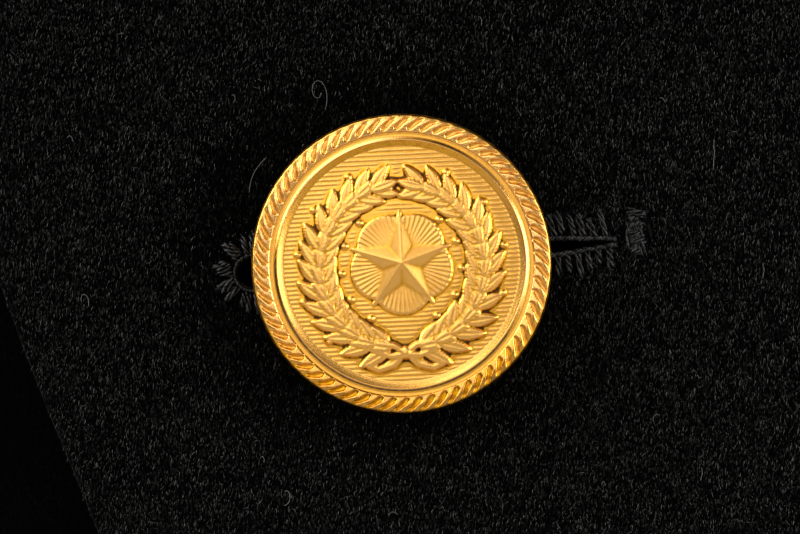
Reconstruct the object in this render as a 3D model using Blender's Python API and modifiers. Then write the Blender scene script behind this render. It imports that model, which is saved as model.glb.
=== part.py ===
"""Military mess dress jacket, worn form with no wearer, in metres with +Z up.

The wearer faces -Y and the wearer's left is +X. The origin is midway between
the two neck points, where the shoulders carry the jacket. The left front laps
over the right front and is held by three gilt buttons.
"""
from collections import namedtuple
from math import asin, copysign, cos, exp, pi, radians, sin

import bmesh
import bpy
from mathutils import Vector

# Cloth and seams
WALL = 0.0022
FRONT_WALL = 0.0026
SEAM_GAP = 0.0003
LAP_GAP = 0.0008
ROUNDNESS = 2.3
SHARP_ANGLE = radians(50)

# Body sections from the hem up to the neck, for a general figure
Section = namedtuple("Section", "height half_width front_depth back_depth")
SECTIONS = (
    Section(-0.560, 0.183, 0.133, 0.119),
    Section(-0.500, 0.179, 0.129, 0.115),
    Section(-0.430, 0.166, 0.118, 0.101),
    Section(-0.330, 0.178, 0.131, 0.110),
    Section(-0.230, 0.195, 0.137, 0.119),
    Section(-0.150, 0.206, 0.121, 0.119),
    Section(-0.080, 0.216, 0.088, 0.107),
    Section(-0.060, 0.2205, 0.0745, 0.099),
    Section(-0.045, 0.2140, 0.063, 0.0905),
    Section(-0.030, 0.1780, 0.053, 0.082),
    Section(-0.020, 0.150, 0.046, 0.076),
    Section(0.000, 0.080, 0.031, 0.053),
    Section(0.020, 0.052, 0.018, 0.036),
)

# Large folds of the body: place, size and the slope that they run at
Fold = namedtuple("Fold", "angle height half_turn half_rise depth slope")
BODY_FOLDS = (
    Fold(0.92, -0.220, 0.11, 0.080, 0.0050, 0.00),
    Fold(2.22, -0.200, 0.12, 0.090, 0.0055, 0.00),
    Fold(0.55, -0.402, 0.34, 0.016, 0.0030, 0.040),
    Fold(0.70, -0.448, 0.36, 0.017, -0.0030, -0.030),
    Fold(1.70, -0.425, 0.42, 0.018, -0.0042, 0.012),
    Fold(1.85, -0.385, 0.38, 0.018, 0.0036, 0.020),
    Fold(2.70, -0.408, 0.40, 0.019, -0.0040, -0.018),
    Fold(2.78, -0.365, 0.34, 0.018, 0.0030, -0.012),
    Fold(2.70, -0.120, 0.40, 0.026, 0.0030, -0.030),
)

# Front opening: how far each front reaches past the centre line
Edge = namedtuple("Edge", "height reach")
FRONT_EDGE = (
    Edge(-0.552, -0.022),
    Edge(-0.515, 0.000),
    Edge(-0.480, 0.0175),
    Edge(-0.455, 0.0252),
    Edge(-0.430, 0.0310),
    Edge(-0.400, 0.0315),
    Edge(-0.250, 0.0310),
)
BREAK_HEIGHT = -0.250
NECK_POINT_X = 0.080
LAP_FULL_TO = 0.036
LAP_GONE_AT = 0.085
LAP_TOP_FROM = -0.175
LAP_TOP_TO = -0.090

# Armhole, as an ellipse over the body's angle and height
STEPS_ROUND = 24
ARMHOLE_HEIGHT = -0.1375
ARMHOLE_HALF_RISE = 0.0925
ARMHOLE_HALF_TURN = 0.50
SIDE_PANEL_STEPS = 3
HEM_HEIGHT = -0.500
BACK_HEM_HEIGHT = -0.508
BACK_NECK_DROP = 0.018
FRONT_SEAM_ANGLE = 1.20
BACK_SEAM_ANGLE = 1.96
FRONT_COLUMNS = 13
FRONT_ROW_DROP = 0.012
BACK_COLUMNS = 9
BACK_NECK_ROWS = 6
BACK_CORNER_HEIGHT = -0.170
BODY_ROWS = 15
SIDE_ROWS = 14

# Roll collar from the break up to the neck point, by height on the roll line
Roll = namedtuple("Roll", "height across drop stand upright")
ROLL_FRONT = (
    Roll(-0.246, 0.007, 0.000, 0.0030, 0.0),
    Roll(-0.225, 0.024, 0.000, 0.0036, 0.0),
    Roll(-0.200, 0.038, 0.000, 0.0042, 0.0),
    Roll(-0.170, 0.050, 0.000, 0.0046, 0.0),
    Roll(-0.135, 0.059, 0.001, 0.0050, 0.0),
    Roll(-0.100, 0.062, 0.004, 0.0060, 0.1),
    Roll(-0.072, 0.060, 0.009, 0.0075, 0.3),
    Roll(-0.048, 0.056, 0.014, 0.0100, 0.5),
    Roll(-0.028, 0.052, 0.015, 0.0125, 0.7),
    Roll(-0.012, 0.046, 0.013, 0.0150, 0.9),
    Roll(0.000, 0.036, 0.012, 0.0175, 1.0),
)
ROLL_START = {1: -0.246, -1: -0.206}
ROLL_FRONT_STEPS = 13
ROLL_CROWDING = 1.35
ROLL_BACK_STEPS = 8
BACK_FALL_DROP = 0.019
BACK_STAND = 0.041
UNDERLAP_CLEARANCE = 0.008

# Collar section from the neck seam over the roll to the outer edge
Across = namedtuple("Across", "part lift")
COLLAR_SECTION = (
    Across(0.000, 0.00),
    Across(-0.020, 0.40),
    Across(-0.025, 0.78),
    Across(0.010, 1.00),
    Across(0.100, 1.04),
    Across(0.240, 0.86),
    Across(0.430, 0.55),
    Across(0.640, 0.28),
    Across(0.830, 0.10),
    Across(1.000, 0.00),
)
COLLAR_GAP = 0.0013
SHOULDER_EASE = 0.0018

# Sleeve rings below the crown, and the reach of the crown's curve
Ring = namedtuple("Ring", "height centre_x centre_y half_x half_y")
SLEEVE_RINGS = (
    Ring(-0.290, 0.262, 0.000, 0.0560, 0.0710),
    Ring(-0.360, 0.269, 0.005, 0.0530, 0.0660),
    Ring(-0.430, 0.276, 0.000, 0.0500, 0.0600),
    Ring(-0.520, 0.284, -0.020, 0.0450, 0.0530),
    Ring(-0.600, 0.290, -0.044, 0.0410, 0.0470),
    Ring(-0.635, 0.292, -0.054, 0.0400, 0.0460),
)
CROWN_STEPS = 7
CROWN_REACH = (0.034, 0.125)
CROWN_FALL = (0.050, 0.230)
CROWN_SLOPE = -0.30
SLEEVE_ROWS = (
    -0.315, -0.338, -0.357, -0.376, -0.395, -0.415, -0.438, -0.470,
    -0.505, -0.545, -0.590, -0.635,
)
SLEEVE_FOLDS = (
    Fold(1.35, -0.372, 0.95, 0.011, -0.0060, 0.010),
    Fold(1.15, -0.399, 0.80, 0.012, 0.0045, 0.014),
    Fold(-1.70, -0.360, 0.80, 0.013, 0.0040, -0.012),
    Fold(2.20, -0.425, 0.80, 0.014, -0.0045, -0.010),
    Fold(0.60, -0.520, 0.90, 0.020, 0.0030, 0.020),
    Fold(-0.90, -0.215, 0.55, 0.040, -0.0040, 0.000),
)
SLEEVE_SEAM_LIFT = 0.0004
UNDER_SLEEVE_FROM = 8
UNDER_SLEEVE_TO = 16

# Front buttons: a pressed gilt shell, a turned rim and a short shank
BUTTON_HEIGHTS = {"top": -0.280, "middle": -0.355, "waist": -0.430}
BUTTON_RADIUS = 0.0115
BUTTON_LIFT = 0.0005
SHANK_RADIUS = 0.0015
SHANK_FOOT_GAP = 0.0005
SHANK_HOLE_RADIUS = 0.0021
SHANK_HOLE_DEPTH = 0.012
BUTTON_STEPS = 32
Turn = namedtuple("Turn", "radius rise")
BUTTON_PROFILE = (
    Turn(0.0000, 0.0042),
    Turn(0.0048, 0.0040),
    Turn(0.0089, 0.0034),
    Turn(0.0096, 0.0039),
    Turn(0.0100, 0.0033),
    Turn(0.0104, 0.0040),
    Turn(0.0110, 0.0040),
    Turn(BUTTON_RADIUS, 0.0029),
    Turn(BUTTON_RADIUS, 0.0016),
    Turn(0.0106, 0.0004),
    Turn(SHANK_RADIUS, 0.0000),
)

# Colours, linear
WOOL = (0.0040, 0.0040, 0.0036, 1.0)
GILT = (0.807, 0.434, 0.090, 1.0)


def read_table(rows, column, height):
    """A smooth curve through one column of a table that is ordered by height."""
    heights = [row.height for row in rows]
    values = [getattr(row, column) for row in rows]
    if height <= heights[0]:
        return values[0]
    if height >= heights[-1]:
        return values[-1]
    last = len(rows) - 1
    here = max(i for i in range(last) if heights[i] <= height)

    def slope(i):
        low = max(i - 1, 0)
        high = min(i + 1, last)
        return (values[high] - values[low]) / (heights[high] - heights[low])

    span = heights[here + 1] - heights[here]
    t = (height - heights[here]) / span
    rise = slope(here) * span
    arrive = slope(here + 1) * span
    return ((2 * t ** 3 - 3 * t ** 2 + 1) * values[here]
            + (t ** 3 - 2 * t ** 2 + t) * rise
            + (3 * t ** 2 - 2 * t ** 3) * values[here + 1]
            + (t ** 3 - t ** 2) * arrive)


def blend(low, high, t):
    return low + (high - low) * t


def smooth_step(start, end, value):
    t = min(max((value - start) / (end - start), 0.0), 1.0)
    return t * t * (3 - 2 * t)


def fold_depth(folds, angle, height):
    """How far the large folds push the cloth out at one place."""
    total = 0.0
    for fold in folds:
        turn = (angle - fold.angle) / fold.half_turn
        rise = (height - fold.height - fold.slope * turn) / fold.half_rise
        total += fold.depth * exp(-turn * turn - rise * rise)
    return total


def body_point(angle, height):
    """A point of the body's outer surface; angle 0 is centre front, pi centre back."""
    half_width = read_table(SECTIONS, "half_width", height)
    fore = cos(angle)
    aside = sin(angle)
    column = "front_depth" if fore > 0 else "back_depth"
    depth = read_table(SECTIONS, column, height)
    power = 2 / ROUNDNESS
    fold = fold_depth(BODY_FOLDS, abs(angle), height)
    x = (half_width + fold) * copysign(abs(aside) ** power, aside)
    y = -(depth + fold) * copysign(abs(fore) ** power, fore)
    return Vector((x, y, height))


def body_normal(angle, height):
    step = 0.004
    along = body_point(angle + step, height) - body_point(angle - step, height)
    up = body_point(angle, height + step) - body_point(angle, height - step)
    return along.cross(up).normalized()


def angle_at(x, height):
    """The angle of the front's surface at a distance x from the centre line."""
    half_width = read_table(SECTIONS, "half_width", height)
    part = min(abs(x) / half_width, 1.0)
    return copysign(asin(part ** (ROUNDNESS / 2)), x)


def seam_turn(angle, height):
    """Half a seam's gap, as a turn round the body."""
    step = 0.001
    reach = body_point(angle + step, height) - body_point(angle - step, height)
    return SEAM_GAP / 2 / (reach.length / (2 * step))


def front_edge_x(height):
    """The left front's free edge, and its roll line above the break."""
    if height <= BREAK_HEIGHT:
        return -read_table(FRONT_EDGE, "reach", height)
    reach = FRONT_EDGE[-1].reach
    return blend(-reach, NECK_POINT_X, (height - BREAK_HEIGHT) / -BREAK_HEIGHT)


def lap_lift(x, height):
    """How far the left front stands out where it covers the right front."""
    across = 1 - smooth_step(LAP_FULL_TO, LAP_GONE_AT, x)
    up = 1 - smooth_step(LAP_TOP_FROM, LAP_TOP_TO, height)
    return (FRONT_WALL + LAP_GAP) * across * up


def side_lift(side, angle, height):
    if side < 0:
        return 0.0
    return lap_lift(body_point(angle, height).x, height)


def armhole_place(step, shrink=0.0):
    """Angle and height of the armhole; step 0 is the shoulder tip, 12 the underarm."""
    turn = 2 * pi * step / STEPS_ROUND
    half_rise = ARMHOLE_HALF_RISE - shrink
    half_turn = ARMHOLE_HALF_TURN - shrink / SECTIONS[4].half_width
    return pi / 2 - half_turn * sin(turn), ARMHOLE_HEIGHT + half_rise * cos(turn)


def wall_object(name, outer, inner, side, colour, metallic=0.0, roughness=0.9):
    """A closed wall between two grids of points, the right side mirrored."""
    shell = bmesh.new()
    rows = len(outer)
    columns = len(outer[0])

    def add_skin(grid):
        return [[shell.verts.new((point.x * side, point.y, point.z)) for point in row]
                for row in grid]

    skins = (add_skin(outer), add_skin(inner))
    for skin in skins:
        for r in range(rows - 1):
            for c in range(columns - 1):
                shell.faces.new((skin[r][c], skin[r][c + 1], skin[r + 1][c + 1], skin[r + 1][c]))
    rim = [(0, c) for c in range(columns)]
    rim += [(r, columns - 1) for r in range(1, rows)]
    rim += [(rows - 1, c) for c in range(columns - 2, -1, -1)]
    rim += [(r, 0) for r in range(rows - 2, 0, -1)]
    for here, after in zip(rim, rim[1:] + rim[:1]):
        shell.faces.new((skins[0][here[0]][here[1]], skins[0][after[0]][after[1]],
                         skins[1][after[0]][after[1]], skins[1][here[0]][here[1]]))
    bmesh.ops.recalc_face_normals(shell, faces=shell.faces)
    mesh = bpy.data.meshes.new(name)
    shell.to_mesh(mesh)
    shell.free()
    mesh.shade_smooth()
    mesh.set_sharp_from_angle(angle=SHARP_ANGLE)
    piece = bpy.data.objects.new(name, mesh)
    parts.objects.link(piece)
    paint(piece, colour, metallic, roughness)
    return piece


def paint(piece, colour, metallic, roughness):
    material = bpy.data.materials.new(piece.name)
    material.use_nodes = True
    shader = material.node_tree.nodes["Principled BSDF"]
    shader.inputs["Base Color"].default_value = colour
    shader.inputs["Metallic"].default_value = metallic
    shader.inputs["Roughness"].default_value = roughness
    material.diffuse_color = colour
    piece.data.materials.append(material)


def panel(name, side, places, thickness, lapped=False):
    """A cloth panel on the body's surface, from rows of angle and height."""
    outer = []
    inner = []
    for row in places:
        outer_row = []
        inner_row = []
        for angle, height in row:
            point = body_point(angle, height)
            normal = body_normal(angle, height)
            lift = lap_lift(point.x, height) if lapped else 0.0
            outer_row.append(point + normal * lift)
            inner_row.append(point + normal * (lift - thickness))
        outer.append(outer_row)
        inner.append(inner_row)
    return wall_object(name, outer, inner, side, WOOL)


def edge_rows(low, corner):
    """Heights of a long edge from the hem to where it meets the armhole."""
    return [blend(low, corner, r / BODY_ROWS) for r in range(BODY_ROWS)]


def front_places():
    """Rows of a front, from its free edge and roll line to the side and armhole."""
    corner_step = STEPS_ROUND // 2 - SIDE_PANEL_STEPS
    corner_angle, corner_height = armhole_place(corner_step)
    tip_height = armhole_place(0)[1]
    outer_ends = []
    for height in edge_rows(HEM_HEIGHT, corner_height):
        part = (height - HEM_HEIGHT) / (corner_height - HEM_HEIGHT)
        angle = blend(FRONT_SEAM_ANGLE, corner_angle, part)
        outer_ends.append((angle - seam_turn(angle, height), height))
    for step in range(corner_step, -1, -1):
        angle, height = armhole_place(step)
        if step in (corner_step, 0):
            angle -= seam_turn(angle, height)
        outer_ends.append((angle, height))
    near_corner = corner_height - FRONT_ROW_DROP
    heights = edge_rows(FRONT_EDGE[0].height, near_corner)
    for step in range(corner_step, -1, -1):
        part = (armhole_place(step)[1] - corner_height) / (tip_height - corner_height)
        heights.append(blend(near_corner, 0.0, part))
    rows = []
    for height, end in zip(heights, outer_ends):
        if height < 0.0:
            start = (angle_at(front_edge_x(height), height), height)
        else:
            start = (pi / 2 - seam_turn(pi / 2, 0.0), 0.0)
        rows.append([(blend(start[0], end[0], c / FRONT_COLUMNS),
                      blend(start[1], end[1], c / FRONT_COLUMNS))
                     for c in range(FRONT_COLUMNS + 1)])
    return rows


def neck_seam_height(angle):
    """The back neck seam, from the neck point down to the centre back."""
    part = max(angle - pi / 2, 0.0) / (pi / 2)
    return -BACK_NECK_DROP * smooth_step(0.0, 1.0, part)


def back_places():
    """Rows of a back, from the side and armhole to the centre seam."""
    corner_step = STEPS_ROUND // 2 + SIDE_PANEL_STEPS
    corner_angle, corner_height = armhole_place(corner_step)
    side_ends = []
    for height in edge_rows(HEM_HEIGHT, corner_height):
        part = (height - HEM_HEIGHT) / (corner_height - HEM_HEIGHT)
        angle = blend(BACK_SEAM_ANGLE, corner_angle, part)
        side_ends.append((angle + seam_turn(angle, height), height))
    for step in range(corner_step, STEPS_ROUND + 1):
        angle, height = armhole_place(step)
        if step in (corner_step, STEPS_ROUND):
            angle += seam_turn(angle, height)
        side_ends.append((angle, height))
    armhole_rows = len(side_ends) - BODY_ROWS
    straight_rows = armhole_rows - BACK_NECK_ROWS
    centre_ends = [(pi, height) for height in edge_rows(BACK_HEM_HEIGHT, BACK_CORNER_HEIGHT)]
    for k in range(straight_rows):
        part = k / straight_rows
        centre_ends.append((pi, blend(BACK_CORNER_HEIGHT, -BACK_NECK_DROP, part)))
    for k in range(BACK_NECK_ROWS):
        angle = blend(pi, pi / 2, k / (BACK_NECK_ROWS - 1))
        centre_ends.append((angle, neck_seam_height(angle)))
    rows = []
    for centre, end in zip(centre_ends, side_ends):
        turn = seam_turn(pi, centre[1])
        start = (min(centre[0], pi - turn), centre[1])
        if centre[1] >= 0.0:
            start = (pi / 2 + seam_turn(pi / 2, 0.0), 0.0)
        rows.append([(blend(end[0], start[0], c / BACK_COLUMNS),
                      blend(end[1], start[1], c / BACK_COLUMNS))
                     for c in range(BACK_COLUMNS + 1)])
    return rows


def side_places():
    """Rows of a side body, from the hem to the lowest part of the armhole."""
    middle = STEPS_ROUND // 2
    steps = [middle - SIDE_PANEL_STEPS + c for c in range(2 * SIDE_PANEL_STEPS + 1)]
    rows = []
    for r in range(SIDE_ROWS + 1):
        v = r / SIDE_ROWS
        row = []
        for c, step in enumerate(steps):
            u = c / (len(steps) - 1)
            top_angle, top_height = armhole_place(step)
            angle = blend(blend(FRONT_SEAM_ANGLE, BACK_SEAM_ANGLE, u), top_angle, v)
            height = blend(HEM_HEIGHT, top_height, v)
            if c == 0:
                angle += seam_turn(angle, height)
            if c == len(steps) - 1:
                angle -= seam_turn(angle, height)
            row.append((angle, height))
        rows.append(row)
    return rows


def roll_station(side, height):
    """Seam place, outer place, stand, uprightness and gap of the collar on a front."""
    seam_x = front_edge_x(height)
    edge_x = seam_x + read_table(ROLL_FRONT, "across", height)
    edge_height = height - read_table(ROLL_FRONT, "drop", height)
    if side < 0:
        seam_x = max(seam_x, UNDERLAP_CLEARANCE - seam_x)
    seam = (angle_at(seam_x, height), height)
    if height >= 0.0:
        seam = (pi / 2, 0.0)
    edge = (angle_at(edge_x, edge_height), edge_height)
    if height >= 0.0:
        edge = (pi / 2, edge_height)
    upright = read_table(ROLL_FRONT, "upright", height)
    gap = COLLAR_GAP + SHOULDER_EASE * upright
    return seam, edge, read_table(ROLL_FRONT, "stand", height), upright, gap


def collar_half(name, side):
    """Half of the roll collar, from the break to the centre back seam."""
    stations = []
    for k in range(ROLL_FRONT_STEPS + 1):
        part = 1 - (1 - k / ROLL_FRONT_STEPS) ** ROLL_CROWDING
        stations.append(roll_station(side, blend(ROLL_START[side], 0.0, part)))
    last_front = ROLL_FRONT[-1]
    for k in range(1, ROLL_BACK_STEPS + 1):
        part = k / ROLL_BACK_STEPS
        angle = blend(pi / 2, pi, part)
        height = neck_seam_height(angle)
        drop = blend(last_front.drop, BACK_FALL_DROP, part)
        stand = blend(last_front.stand, BACK_STAND, smooth_step(0.0, 1.0, part))
        gap = COLLAR_GAP + SHOULDER_EASE * (1 - part)
        stations.append(((angle, height), (angle, height - drop), stand, 1.0, gap))
    stations[-1] = tuple((place[0] - seam_turn(pi, place[1]), place[1])
                         for place in stations[-1][:2]) + stations[-1][2:]
    under = []
    for seam, edge, stand, upright, gap in stations:
        row = []
        for across in COLLAR_SECTION:
            angle = blend(seam[0], edge[0], across.part)
            height = blend(seam[1], edge[1], across.part)
            normal = body_normal(angle, height)
            away = normal.lerp(Vector((0.0, 0.0, 1.0)), upright).normalized()
            base = body_point(angle, height) + normal * side_lift(side, angle, height)
            row.append(base + normal * gap + away * stand * across.lift)
        under.append(row)
    over = []
    for r, row in enumerate(under):
        over_row = []
        for c, point in enumerate(row):
            along = under[min(r + 1, len(under) - 1)][c] - under[max(r - 1, 0)][c]
            across = row[min(c + 1, len(row) - 1)] - row[max(c - 1, 0)]
            normal = across.cross(along).normalized()
            if r == len(under) - 1:
                normal.x = 0.0
                normal.normalize()
            over_row.append(point + normal * WALL)
        over.append(over_row)
    return wall_object(name, over, under, side, WOOL)


def sleeve_point(step, level):
    """A point of the sleeve; level 0 is the armhole, 1 the first ring, then heights."""
    turn = 2 * pi * step / STEPS_ROUND
    if level > 0:
        start_angle, start_height = armhole_place(step, SEAM_GAP)
        start = body_point(start_angle, start_height)
        start += body_normal(start_angle, start_height) * SLEEVE_SEAM_LIFT
        end = ring_point(turn, SLEEVE_RINGS[0].height)
        high = (1 + cos(turn)) / 2
        reach = blend(CROWN_REACH[0], CROWN_REACH[1], high)
        fall = blend(CROWN_FALL[0], CROWN_FALL[1], high)
        leave = Vector((1.0, 0.0, CROWN_SLOPE * high)) * reach
        arrive = Vector((0.0, 0.0, -fall))
        t = 1 - level
        return (start * (2 * t ** 3 - 3 * t ** 2 + 1)
                + leave * (t ** 3 - 2 * t ** 2 + t)
                + end * (3 * t ** 2 - 2 * t ** 3)
                + arrive * (t ** 3 - t ** 2)
                + fold_push(turn, start_height * (1 - t) + SLEEVE_RINGS[0].height * t) * t)
    return ring_point(turn, level)


def fold_push(turn, height):
    """The sleeve's folds, as a push away from its middle line."""
    around = turn if turn <= pi else turn - 2 * pi
    depth = fold_depth(SLEEVE_FOLDS, around, height)
    return Vector((cos(turn), -sin(turn), 0.0)) * depth


def ring_point(turn, height):
    rows = SLEEVE_RINGS[::-1]
    middle = Vector((read_table(rows, "centre_x", height),
                     read_table(rows, "centre_y", height), height))
    half_x = read_table(rows, "half_x", height)
    half_y = read_table(rows, "half_y", height)
    around = Vector((half_x * cos(turn), -half_y * sin(turn), 0.0))
    push = fold_push(turn, height) if height < SLEEVE_RINGS[0].height else Vector()
    return middle + around + push


def sleeve_piece(name, side, first, last):
    """Part of a sleeve between two of its long seams."""
    levels = [1 - t / CROWN_STEPS for t in range(CROWN_STEPS)]
    levels += [SLEEVE_RINGS[0].height] + list(SLEEVE_ROWS)
    steps = list(range(first, last + 1))
    half_gap = SEAM_GAP / 2 / (2 * pi * SLEEVE_RINGS[2].half_x / STEPS_ROUND)
    steps[0] += half_gap
    steps[-1] -= half_gap
    outer = []
    inner = []
    nudge = 0.02
    for k, level in enumerate(levels):
        outer_row = []
        inner_row = []
        for step in steps:
            point = sleeve_point(step, level)
            along = sleeve_point(step + nudge, level) - sleeve_point(step - nudge, level)
            before = levels[max(k - 1, 0)]
            after = levels[min(k + 1, len(levels) - 1)]
            down = sleeve_point(step, after) - sleeve_point(step, before)
            normal = along.cross(down).normalized()
            if normal.dot(point - sleeve_middle(level)) < 0:
                normal.negate()
            outer_row.append(point)
            inner_row.append(point - normal * WALL)
        outer.append(outer_row)
        inner.append(inner_row)
    return wall_object(name, outer, inner, side, WOOL)


def sleeve_middle(level):
    return (sleeve_point(0, level) + sleeve_point(STEPS_ROUND // 2, level)) / 2


def button(name, height):
    """A turned button whose shank passes through the left front."""
    profile = bmesh.new()
    foot = -(FRONT_WALL + LAP_GAP + BUTTON_LIFT - SHANK_FOOT_GAP)
    turns = BUTTON_PROFILE + (Turn(SHANK_RADIUS, foot), Turn(0.0, foot))
    points = [profile.verts.new((turn.radius, 0.0, turn.rise)) for turn in turns]
    for upper, lower in zip(points, points[1:]):
        profile.edges.new((upper, lower))
    mesh = bpy.data.meshes.new(name)
    profile.to_mesh(mesh)
    profile.free()
    piece = bpy.data.objects.new(name, mesh)
    parts.objects.link(piece)
    turned = piece.modifiers.new("turned", "SCREW")
    turned.steps = BUTTON_STEPS
    turned.render_steps = BUTTON_STEPS
    turned.use_merge_vertices = True
    turned.merge_threshold = 0.00002
    turned.use_normal_calculate = True
    normal = body_normal(0.0, height)
    surface = body_point(0.0, height) + normal * lap_lift(0.0, height)
    piece.location = surface + normal * BUTTON_LIFT
    piece.rotation_euler = Vector((0.0, 0.0, 1.0)).rotation_difference(normal).to_euler()
    paint(piece, GILT, 1.0, 0.28)
    return piece


def cut_shank_hole(front, height):
    """A round hole through the left front for one button's shank."""
    tool = bmesh.new()
    bmesh.ops.create_cone(tool, cap_ends=True, segments=16, radius1=SHANK_HOLE_RADIUS,
                          radius2=SHANK_HOLE_RADIUS, depth=SHANK_HOLE_DEPTH)
    mesh = bpy.data.meshes.new("shank_hole")
    tool.to_mesh(mesh)
    tool.free()
    cutter = bpy.data.objects.new("shank_hole", mesh)
    cutters.objects.link(cutter)
    cutter.hide_render = True
    cutter.display_type = "WIRE"
    normal = body_normal(0.0, height)
    cutter.location = body_point(0.0, height) + normal * lap_lift(0.0, height)
    cutter.rotation_euler = Vector((0.0, 0.0, 1.0)).rotation_difference(normal).to_euler()
    cut = front.modifiers.new("shank_hole", "BOOLEAN")
    cut.operation = "DIFFERENCE"
    cut.object = cutter


for thing in list(bpy.data.objects):
    bpy.data.objects.remove(thing)

parts = bpy.data.collections.new("mess_jacket")
cutters = bpy.data.collections.new("cutters")
bpy.context.scene.collection.children.link(parts)
bpy.context.scene.collection.children.link(cutters)

for side_name, side in (("left", 1), ("right", -1)):
    panel("front_" + side_name, side, front_places(), FRONT_WALL, lapped=side > 0)
    panel("side_" + side_name, side, side_places(), WALL)
    panel("back_" + side_name, side, back_places(), WALL)
    collar_half("collar_" + side_name, side)
    sleeve_piece("sleeve_top_" + side_name, side,
                 UNDER_SLEEVE_TO - STEPS_ROUND, UNDER_SLEEVE_FROM)
    sleeve_piece("sleeve_under_" + side_name, side, UNDER_SLEEVE_FROM, UNDER_SLEEVE_TO)

for button_name, button_height in BUTTON_HEIGHTS.items():
    button("button_" + button_name, button_height)
    cut_shank_hole(parts.objects["front_left"], button_height)
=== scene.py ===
"""Military mess dress jacket in black napped wool, seen close up at its waist button.

The wearer faces -Y and the wearer's left is +X. All sizes are in metres.
"""

import random
from collections import namedtuple
from math import cos, hypot, pi, radians, sin

import bmesh
import bpy
import numpy as np
from mathutils import Matrix, Vector
from mathutils.bvhtree import BVHTree


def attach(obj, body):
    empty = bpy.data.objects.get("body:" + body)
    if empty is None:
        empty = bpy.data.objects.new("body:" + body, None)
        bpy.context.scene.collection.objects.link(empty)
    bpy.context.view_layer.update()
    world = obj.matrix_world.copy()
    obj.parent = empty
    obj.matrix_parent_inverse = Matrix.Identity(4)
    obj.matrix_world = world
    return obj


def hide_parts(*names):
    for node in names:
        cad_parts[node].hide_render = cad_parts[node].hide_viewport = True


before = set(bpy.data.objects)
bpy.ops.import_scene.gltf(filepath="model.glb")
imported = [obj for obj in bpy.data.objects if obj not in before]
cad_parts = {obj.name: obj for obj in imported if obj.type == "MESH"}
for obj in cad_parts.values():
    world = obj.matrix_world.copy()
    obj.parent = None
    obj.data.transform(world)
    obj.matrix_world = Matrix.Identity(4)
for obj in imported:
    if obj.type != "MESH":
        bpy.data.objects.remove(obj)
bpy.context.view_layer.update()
scene = bpy.context.scene
shop = scene.collection

# The camera looks square on to the cloth at the waist button, from 17 cm away.
# It is turned 5 degrees, so that the buttonhole rises to the right as in the photo.
SAME_POINT = 0.000001
POLE_EDGES = 20
CROWN_RISE = 0.0042
CAMERA_DISTANCE = 0.1708
CAMERA_TURN = radians(-5.0)
CAMERA_SHIFT = Vector((-0.00012, -0.00023))
FOCUS_RISE = 0.0030


def put_out(name, data):
    """A new object that shows the data."""
    thing = bpy.data.objects.new(name, data)
    shop.objects.link(thing)
    return thing


def button_seat(node):
    """Where a button meets the cloth: its right, up and facing axes as a matrix."""
    solid = bmesh.new()
    solid.from_mesh(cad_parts[node].data)
    bmesh.ops.remove_doubles(solid, verts=solid.verts, dist=SAME_POINT)
    poles = [v for v in solid.verts if len(v.link_edges) > POLE_EDGES]
    crown = min(poles, key=lambda v: v.co.y).co.copy()
    rings = [v.co for v in solid.verts if v.co != crown]
    middle = sum(rings, Vector()) / len(rings)
    solid.free()
    facing = (crown - middle).normalized()
    right = (Vector((1.0, 0.0, 0.0)) - facing * facing.x).normalized()
    up = facing.cross(right)
    seat = Matrix((right, up, facing)).transposed().to_4x4()
    seat.translation = crown - facing * CROWN_RISE
    return seat


seats = {name: button_seat("button_" + name) for name in ("top", "middle", "waist")}
waist_seat = seats["waist"]

camera = put_out("close_up", bpy.data.cameras.new("close_up"))
camera.data.lens = 100.0
camera.data.sensor_width = 36.0
camera.data.clip_start = 0.01
camera.data.clip_end = 20.0
turned = waist_seat @ Matrix.Rotation(CAMERA_TURN, 4, "Z")
camera.matrix_world = turned @ Matrix.Translation(
    (CAMERA_SHIFT.x, CAMERA_SHIFT.y, FOCUS_RISE + CAMERA_DISTANCE))
scene.camera = camera


# Cloth of the jacket: heavy black wool with a short brushed nap that lies one way.
# Each panel is a thin wall with a rolled rim, sewn to its neighbours, and the creases of
# wear are pressed through all the panels that they cross.
NAP_LEAN = radians(12)
NAP_ACROSS = 7200.0
NAP_ALONG = 2300.0
NAP_BUMP = 0.00006
STREAKS = (0.53, 0.74)
CLOUDS = (0.30, 0.70)
CLOUD_SCALE = 190.0
MATTED_SCALE = 1400.0
MATTED_SHARE = 0.8
NAP_FIELD = Vector((0.037, 0.027))
FIELD_DEPTH = 0.030
FIELD_EDGE = (0.96, 1.22)
FIELD_FAR = 3.6
NEAR_SHARE = 0.34
WOOL_DARK = (0.0001, 0.0001, 0.0001, 1.0)
WOOL_PALE = (0.0085, 0.0085, 0.0078, 1.0)
# A darker copy of the wool for the right front, as painted shade where it lies under the left
# front's free edge.
UNDER_SHADE_PALE = (0.0016, 0.0016, 0.0014, 1.0)
FAR_DARK = (0.0055, 0.0055, 0.0053, 1.0)
FAR_PALE = (0.0320, 0.0320, 0.0308, 1.0)


def feed(tree, socket, value):
    """Fills in a node's input, or links it where the value is another socket."""
    if isinstance(value, bpy.types.NodeSocket):
        tree.links.new(value, socket)
    else:
        socket.default_value = value


def fill(tree, node, **inputs):
    """Feeds a node's inputs by name."""
    for name, value in inputs.items():
        feed(tree, node.inputs[name.replace("_", " ")], value)
    return node


def new_node(tree, kind, **inputs):
    return fill(tree, tree.nodes.new(kind), **inputs)


def new_material(name):
    """A material with its node tree and its shader."""
    material = bpy.data.materials.new(name)
    material.use_nodes = True
    return material, material.node_tree, material.node_tree.nodes["Principled BSDF"]


def object_place(tree):
    return tree.nodes.new("ShaderNodeTexCoord").outputs["Object"]


def painted(tree, name):
    """A value that the mesh itself carries, point by point."""
    node = tree.nodes.new("ShaderNodeAttribute")
    node.attribute_name = name
    return node.outputs["Fac"]


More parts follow.
